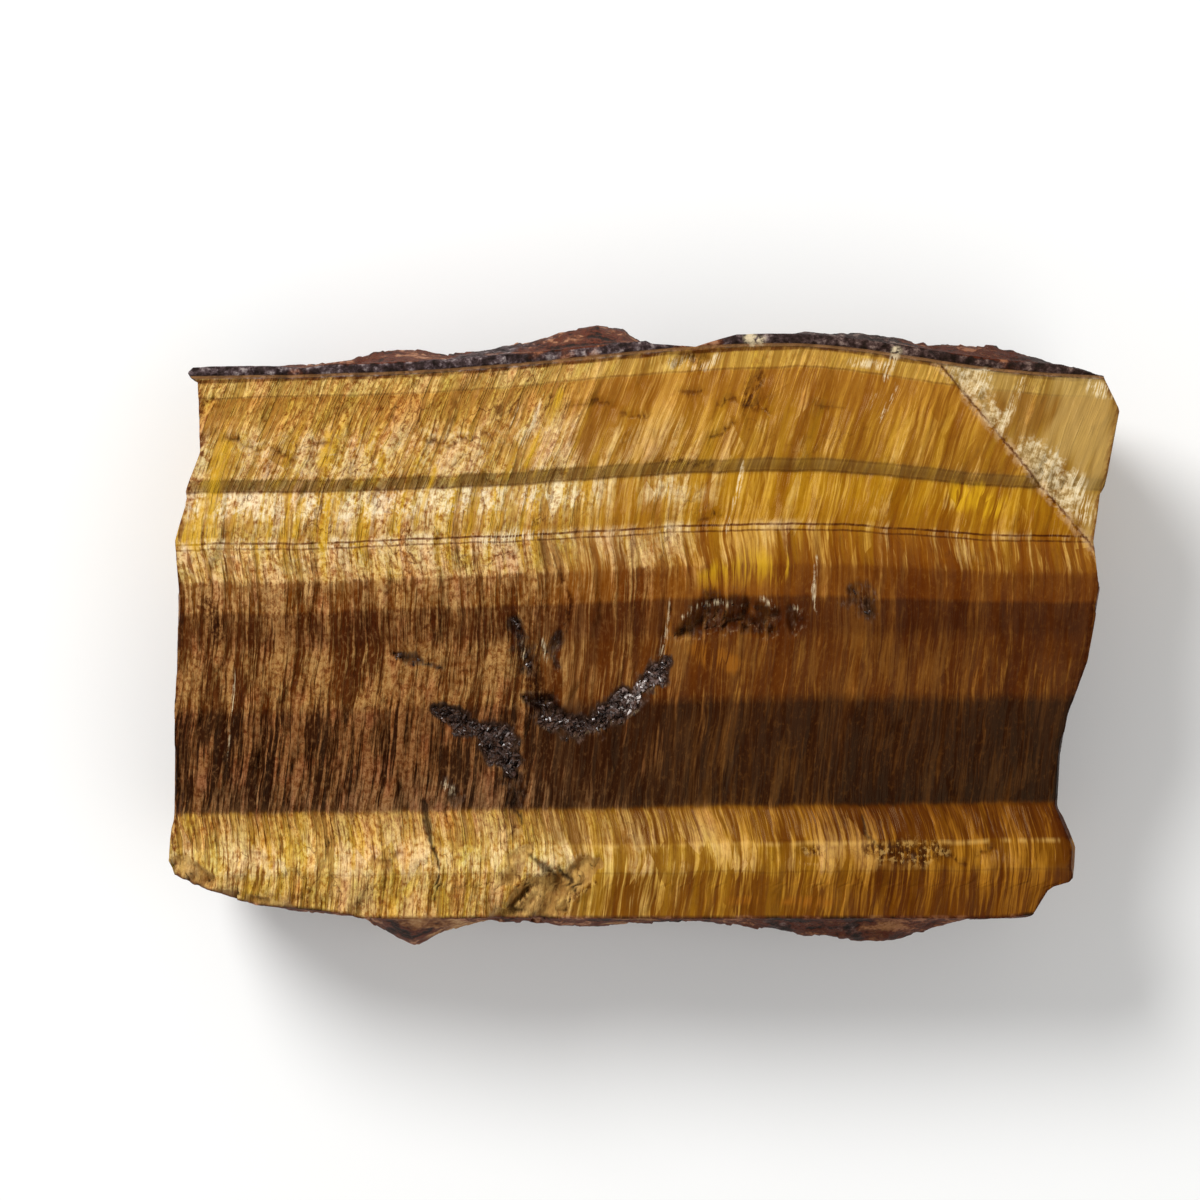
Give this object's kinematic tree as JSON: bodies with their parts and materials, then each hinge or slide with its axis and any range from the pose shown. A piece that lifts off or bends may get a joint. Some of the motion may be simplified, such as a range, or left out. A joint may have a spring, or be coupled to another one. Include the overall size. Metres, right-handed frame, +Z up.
{
  "type": "rough tiger's eye stone",
  "caption": "Rough slab of banded golden-brown tiger's eye, split along its fibres, with ironstone edges and small crystal hollows; lies flat, banded face up.",
  "frame": {"origin": "on the surface that the stone rests on, under the middle of its bounding box", "axes": "+X along the vein, towards the end on the right when the ironstone edge with the dark strip is away from the viewer; +Y across the vein, towards that edge; +Z up, out of the banded face"},
  "size_m": [0.1184, 0.0786, 0.0344],
  "materials": {
    "banded_stone": "split, silky along the fibres, in bands of straw, gold and dark brown, with dull rusty ironstone along the two long edges"
  },
  "bodies": {
    "root": {"tigers_eye_slab": "banded_stone"}
  },
  "joints": []
}
